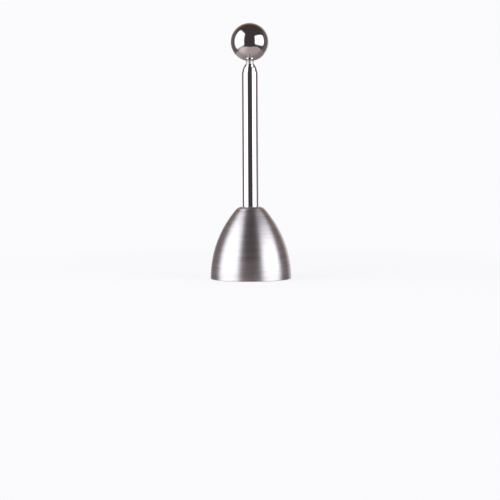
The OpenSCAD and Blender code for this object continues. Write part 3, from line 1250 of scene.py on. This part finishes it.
@dataclass
class Plunger:
    """What moves when the ball is pulled: the ball on its rod, the striker with its pin, and a washer."""

    rod_edge: float = 0.3
    thread: Metric = Metric(1.5, 0.5)
    hole_depth: float = 9.0
    tip_taper: float = 0.3
    tap_lead: float = 0.15
    cutter_slack: float = 3.0
    shoulder_edge: float = 0.04
    striker_edge: float = 0.3
    striker_edge_round: float = 0.1
    striker_face_share: float = 0.5
    striker_face_round: float = 0.4
    washer_clearance: float = 0.15
    washer_edges: tuple[float, ...] = (0.03, 0.14, 0.03, 0.1)
    pin_edge: float = 0.15

    @property
    def rod_radius(self) -> float:
        """Radius of the rod."""
        return Extent.of("pull_rod").radius

    @property
    def ball_centre(self) -> float:
        """Height of the ball's centre, one radius under its top."""
        return Extent.of("ball_knob").high - Extent.of("ball_knob").radius

    @property
    def seat(self) -> float:
        """Height of the rod's shoulder, where the ball's sphere is as wide as the rod."""
        return self.ball_centre - math.sqrt(Extent.of("ball_knob").radius ** 2 - self.rod_radius**2)

    def cross_pin(self, name: str, slack: float = 0.0) -> bpy.types.Object:
        """A pin across striker and rod along Y, with rounded ends: turned about the axis, then laid down.

        Args:
            name: The object's name.
            slack: How much longer than the pin it is made, at each end, as a cutter.

        Returns:
            The new object.
        """
        low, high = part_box("striker_pin")
        radius, half, height = high.x / MM, high.y / MM + slack, (low.z + high.z) / 2 / MM
        pin = turned(name, softened([
            Corner(0, -half),
            Corner(radius, -half, self.pin_edge),
            Corner(radius, half, self.pin_edge),
            Corner(0, half),
        ], closed=False), 48)
        lay = Matrix.Translation((0, 0, height * MM)) @ Matrix.Rotation(math.radians(90), 4, "X")
        pin.data.transform(lay)
        return pin

    def rod(self) -> bpy.types.Object:
        """The rod, from its chamfered foot up to the shoulder and the threaded end in the ball.

        Returns:
            The rod.
        """
        size, seat, tip = Extent.of("pull_rod"), self.seat, self.thread.radius - self.tip_taper
        rod = turned("ground_rod", [
            *softened([
                Corner(0, size.low),
                Corner(size.radius - self.rod_edge, size.low),
                Corner(size.radius, size.low + self.rod_edge),
                Corner(size.radius, seat, self.shoulder_edge),
                Corner(self.thread.radius, seat),
            ], closed=False),
            Thread(seat, size.high, self.thread, fades_at=seat, tip_radius=tip),
            Line((tip, size.high), (0, size.high)),
        ])
        return drilled(rod, self.cross_pin("cutter", slack=self.cutter_slack))

    def ball(self) -> bpy.types.Object:
        """The ball: a tapped blind hole, the spot face that the rod's shoulder meets, and the sphere.

        The sphere is an arc about the ball's centre from the spot face's edge to the top pole.

        Returns:
            The ball.
        """
        size, seat, drill = Extent.of("ball_knob"), self.seat, self.thread.drill
        deep, mouth = seat + self.hole_depth, self.thread.radius + self.tap_lead
        foot = -math.degrees(math.acos(self.rod_radius / size.radius))
        return turned("mirror_ball", [
            Line((0, deep + drill / 2), (drill, deep)),
            Thread(deep, seat, self.thread, inner=True, fades_at=deep, tip_radius=mouth),
            Line((mouth, seat), (self.rod_radius, seat)),
            Arc((0, self.ball_centre), size.radius, foot, 90, 128),
        ], 192)

    def striker(self) -> bpy.types.Object:
        """The striker: a flat that strikes, relieved towards its edge, and a socket for the rod.

        Returns:
            The striker.
        """
        size, rod_low = Extent.of("striker"), Extent.of("pull_rod").low
        edge, bend = self.striker_edge, self.striker_edge_round
        striker = turned("steel_striker", softened([
            Corner(0, size.low),
            Corner(size.radius * self.striker_face_share, size.low, self.striker_face_round),
            Corner(size.radius - edge, size.low + edge, bend),
            Corner(size.radius, size.low + 2 * edge, bend),
            Corner(size.radius, size.high - edge),
            Corner(size.radius - edge, size.high),
            Corner(self.rod_radius, size.high),
            Corner(self.rod_radius, rod_low),
            Corner(0, rod_low - self.rod_radius / 2),
        ], closed=False))
        return drilled(striker, self.cross_pin("cutter", slack=self.cutter_slack))

    def low_washer(self) -> bpy.types.Object:
        """The washer that rides on the striker under the spring."""
        hole = self.rod_radius + self.washer_clearance
        return washer("low_washer", "lower_spring_washer", hole, self.washer_edges)

    def make(self, shop: Workshop) -> None:
        """Builds the sub-assembly's pieces and finishes them.

        Args:
            shop: What gives the pieces their finish and their body.
        """
        shop.fit(self.rod(), "pull_rod", Body.PLUNGER, GROUND_ROD)
        shop.fit(self.ball(), "ball_knob", Body.PLUNGER, POLISHED_BALL)
        shop.fit(self.striker(), "striker", Body.PLUNGER, TURNED_STEEL)
        shop.fit(self.cross_pin("cross_pin"), "striker_pin", Body.PLUNGER, TURNED_STEEL)
        shop.fit(self.low_washer(), "lower_spring_washer", Body.FOLLOWER, WASHER_STEEL)


# ------------------------------------------------------------------------------------------------- studio


def level_sheet(name: str, outline: np.ndarray, height: float) -> bpy.types.Object:
    """A level sheet that faces up.

    Args:
        name: The object's name.
        outline: Its corners' x and y, walked counter-clockwise.
        height: Its height.

    Returns:
        The new object, with no material.
    """
    mesh = bpy.data.meshes.new(name)
    points = np.column_stack([outline, np.full(len(outline), height)]) * MM
    mesh.from_pydata(points.tolist(), [], [list(range(len(outline)))])
    sheet = bpy.data.objects.new(name, mesh)
    bpy.context.scene.collection.objects.link(sheet)
    return sheet


@dataclass(frozen=True)
class Softbox:
    """An upright rectangular lamp whose face looks at the object, and whose light fades out at its edges.

    Its left and its right edge, seen from the object, each have a bearing in degrees from the front to the
    right, and a distance from the axis. Distances and the heights low and high are in millimetres, and lie
    at half the light.
    """

    name: str
    left: tuple[float, float]
    right: tuple[float, float]
    low: float
    high: float
    radiance: float
    colour: Colour = (0.97, 0.98, 1.03)
    fade: float = 220.0

    def build(self) -> None:
        """Makes the lamp as a glowing sheet, whose own x runs to its right edge and whose own y runs up.

        A share s of the light that fades over a length f round the place e is a smooth step from
        e + f/2 to e - f/2, for the distance across the middle and for the distance above it.
        """
        turns = [math.radians(bearing) for bearing, _ in (self.left, self.right)]
        reaches = [distance * MM for _, distance in (self.left, self.right)]
        left, right = (Vector((math.sin(t), -math.cos(t), 0)) * r for t, r in zip(turns, reaches))
        half = (right - left).length / 2 / MM, (self.high - self.low) / 2
        out = [reach + self.fade / 2 for reach in half]
        corners = [(-out[0], -out[1]), (out[0], -out[1]), (out[0], out[1]), (-out[0], out[1])]
        sheet = level_sheet(self.name, np.array(corners), 0.0)
        across, up = (right - left).normalized(), Vector((0, 0, 1))
        turn = Matrix((across, up, across.cross(up))).transposed().to_4x4()
        middle = (left + right) / 2 + up * ((self.low + self.high) / 2 * MM)
        sheet.matrix_world = Matrix.Translation(middle) @ turn
        sheet.visible_camera = False
        sheet.visible_shadow = False
        material = bpy.data.materials.new(self.name)
        graph = Graph(material)
        bright = [reach - self.fade / 2 for reach in half]
        x, y, _ = graph.place()
        share = x.size().within(out[0], bright[0]) * y.size().within(out[1], bright[1])
        graph.end(graph.glow(tinted(self.colour), share * self.radiance))
        sheet.data.materials.append(material)


@dataclass
class Studio:
    """A white room to the camera, and to the metal what stood round the object: two softboxes in the dark.

    The angles and rises of a zone in the world say where it starts to fade in and where it is full. An
    angle is from the way to the zone's middle, in degrees, and a rise is the sine of the height.
    """

    white: Colour = (0.962, 0.962, 0.978)
    dark: Colour = (0.068, 0.054, 0.055)
    backdrop: Colour = (0.95, 0.92, 0.93)
    backdrop_way: tuple[float, float, float] = (0.14, 0.99, -0.04)
    backdrop_angles: tuple[float, float] = (39.0, 13.0)
    dim: Colour = (0.18, 0.15, 0.15)
    dim_angles: tuple[float, float] = (92.0, 60.0)
    dim_rise: tuple[float, float] = (0.8, 0.3)
    warm: Colour = (0.48, 0.29, 0.16)
    warm_angles: tuple[float, float] = (63.0, 25.0)
    warm_rise: tuple[float, float] = (0.25, 0.6)
    # Painted light: the glowing table's colours paint a lit table, warmer and lighter on the left and shaded
    # on the right.
    table_painted_lit: Colour = (0.87, 0.79, 0.74)
    table_blend: tuple[float, float] = (-200.0, -10.0)
    table_painted_shade: Colour = (0.525, 0.46, 0.45)
    # Painted shadow: the share of the table's glow that is left at the back, and the span where that shade
    # comes in.
    table_shadow_share: float = 0.55
    table_shadow_span: tuple[float, float] = (-80.0, 90.0)
    table_drop: float = 100.0
    table_front: float = 333.0
    table_sides: tuple[float, float] = (-308.0, 335.0)
    table_back: float = 900.0
    table_corner: float = 190.0
    floor_reach: float = 6000.0
    near_share: float = 0.78
    fade_from: float = 60.0
    fade_to: float = 260.0
    lamp_size: float = 500.0
    lamp_height: float = 600.0
    lamp_watts: float = 2.0

    def softboxes(self) -> list[Softbox]:
        """The two softboxes that the metal shows."""
        return [
            Softbox("right_softbox", (34.0, 800), (92.5, 840), low=-85, high=560, radiance=2.8),
            Softbox("left_softbox", (-101.0, 490), (-35.3, 700), low=-133, high=762, radiance=2.1),
        ]

    def build(self) -> None:
        """Sets up the world, the floor, the table that the metal shows and the lamps."""
        scene = bpy.context.scene
        scene.view_settings.view_transform = "Standard"
        self.world()
        self.floor()
        self.table()
        for box in self.softboxes():
            box.build()
        self.overhead()

    def world(self) -> None:
        """White to the camera. To the metal it is dark, with a bright backdrop behind the object.

        The cosine of the angle from a zone's middle is the scalar product of the direction and the way
        there. Low and wide round the backdrop lies a dim zone, and brown light comes from high behind.
        """

        def near(cosine: Wire, angles: tuple[float, float]) -> Wire:
            """The share of a zone at the cosine of the angle from its middle."""
            return cosine.within(*(math.cos(math.radians(angle)) for angle in angles))

        world = bpy.data.worlds.new("studio")
        bpy.context.scene.world = world
        graph = Graph(world)
        side, behind, up = graph.split(graph.add("ShaderNodeTexCoord").out("Generated"))
        right, back, rise = self.backdrop_way
        towards = side * right + behind * back + up * rise
        around_it = near(towards, self.dim_angles) * up.within(*self.dim_rise)
        above_it = near(behind, self.warm_angles) * up.within(*self.warm_rise)
        base = graph.blend(around_it, tinted(self.dark), tinted(self.dim))
        base = graph.blend(above_it, base, tinted(self.warm))
        seen_in_metal = graph.blend(near(towards, self.backdrop_angles), base, tinted(self.backdrop))
        straight = graph.add("ShaderNodeLightPath").out("Is Camera Ray")
        colour = graph.blend(straight, seen_in_metal, tinted(self.white))
        graph.end(graph.add("ShaderNodeBackground", None, {"Color": colour}), "World")

    def floor(self) -> None:
        """A pale floor that takes the object's shadow close by and goes over into the white further out.

        The share of its own white grows from near_share to 1 with the distance from the axis. From below
        it can be looked through.
        """
        reach = self.floor_reach
        corners = np.array([(-1, -1), (1, -1), (1, 1), (-1, 1)]) * reach
        floor = level_sheet("floor", corners, 0.0)
        floor.visible_glossy = False
        floor.visible_shadow = False
        material = bpy.data.materials.new("floor")
        graph = Graph(material)
        x, y, _ = graph.place()
        grow = x.off_axis(y).within(self.fade_from, self.fade_to)
        path = graph.add("ShaderNodeLightPath").out("Is Camera Ray")
        share = path * (grow * (1 - self.near_share) + self.near_share)
        matt = graph.add("ShaderNodeBsdfDiffuse", None, {"Color": tinted(self.white)})
        lit = graph.glow(tinted(self.white))
        top = graph.add("ShaderNodeMixShader", None, {0: share, 1: matt, 2: lit})
        clear = graph.add("ShaderNodeBsdfTransparent")
        back = graph.add("ShaderNodeNewGeometry").out("Backfacing")
        both = graph.add("ShaderNodeMixShader", None, {0: back, 1: top, 2: clear})
        graph.end(both)
        floor.data.materials.append(material)

    def table(self) -> None:
        """What the metal shows below it: a glowing sheet, no lamp, with round front corners, that paints a
        lit table: warmer painted light on the left, painted shade on the right, and a painted shadow from
        under the object towards the back.

        A corner is a quarter circle about a point that lies in from the front and from the side by its
        radius.
        """
        (left, right), front, bend = self.table_sides, -self.table_front, self.table_corner
        turn = np.radians(np.linspace(0, 90, 13))
        near_left = np.column_stack([left + bend - bend * np.cos(turn), front + bend - bend * np.sin(turn)])
        near_right = np.column_stack([right - bend + bend * np.sin(turn), front + bend - bend * np.cos(turn)])
        far = [(right, self.table_back), (left, self.table_back)]
        table = level_sheet("painted_low_table", np.concatenate([near_left, near_right, far]), -self.table_drop)
        for part in ("camera", "diffuse", "shadow", "transmission"):
            setattr(table, f"visible_{part}", False)
        material = bpy.data.materials.new("painted_low_table")
        graph = Graph(material)
        x, y, _ = graph.place()
        # Painted light and shade: the glow goes from the lit left colour to the shaded right one.
        colour = graph.blend(x.within(*self.table_blend), tinted(self.table_painted_lit), tinted(self.table_painted_shade))
        # Painted shadow: the glow dims from under the object towards the back.
        share = 1 - y.within(*self.table_shadow_span) * (1 - self.table_shadow_share)
        graph.end(graph.glow(colour, share))
        table.data.materials.append(material)

    def overhead(self) -> None:
        """A soft lamp straight above for the floor, which the metal doesn't show."""
        lamp = bpy.data.lights.new("overhead", "AREA")
        lamp.size = self.lamp_size * MM
        lamp.energy = self.lamp_watts
        holder = bpy.data.objects.new("overhead", lamp)
        holder.location = (0, 0, self.lamp_height * MM)
        holder.visible_camera = False
        holder.visible_glossy = False
        bpy.context.scene.collection.objects.link(holder)


@dataclass(frozen=True)
class Eye:
    """The camera, in front of the object and a little above it."""

    focal: float = 1333.0  # pixels
    distance: float = 671.8
    height: float = 58.4
    aside: float = -0.41
    pitch: float = 3.75
    roll: float = 0.315
    sensor: float = 36.0
    sees_from: float = 10.0
    sees_to: float = 50000.0

    def place(self) -> None:
        """Makes the camera. It looks along +Y, pitched down, and the object's top leans a little left."""
        lens = bpy.data.cameras.new("eye")
        lens.sensor_width = self.sensor
        lens.lens = self.focal / PICTURE * self.sensor
        lens.clip_start, lens.clip_end = self.sees_from * MM, self.sees_to * MM
        eye = bpy.data.objects.new("eye", lens)
        pitched = Matrix.Rotation(math.radians(90 - self.pitch), 4, "X")
        tilt = pitched @ Matrix.Rotation(math.radians(-self.roll), 4, "Z")
        spot = Matrix.Translation(Vector((self.aside, -self.distance, self.height)) * MM)
        eye.matrix_world = spot @ tilt
        bpy.context.scene.collection.objects.link(eye)
        bpy.context.scene.camera = eye


def main() -> None:
    """Builds the studio, the camera and the three sub-assemblies."""
    logging.basicConfig(level=logging.INFO, format="%(name)s: %(message)s", stream=sys.stdout)
    Eye().place()
    Studio().build()
    shop = Workshop()
    for part in (BellEnd(), Handle(), Plunger()):
        part.make(shop)


if __name__ == "__main__":
    main()
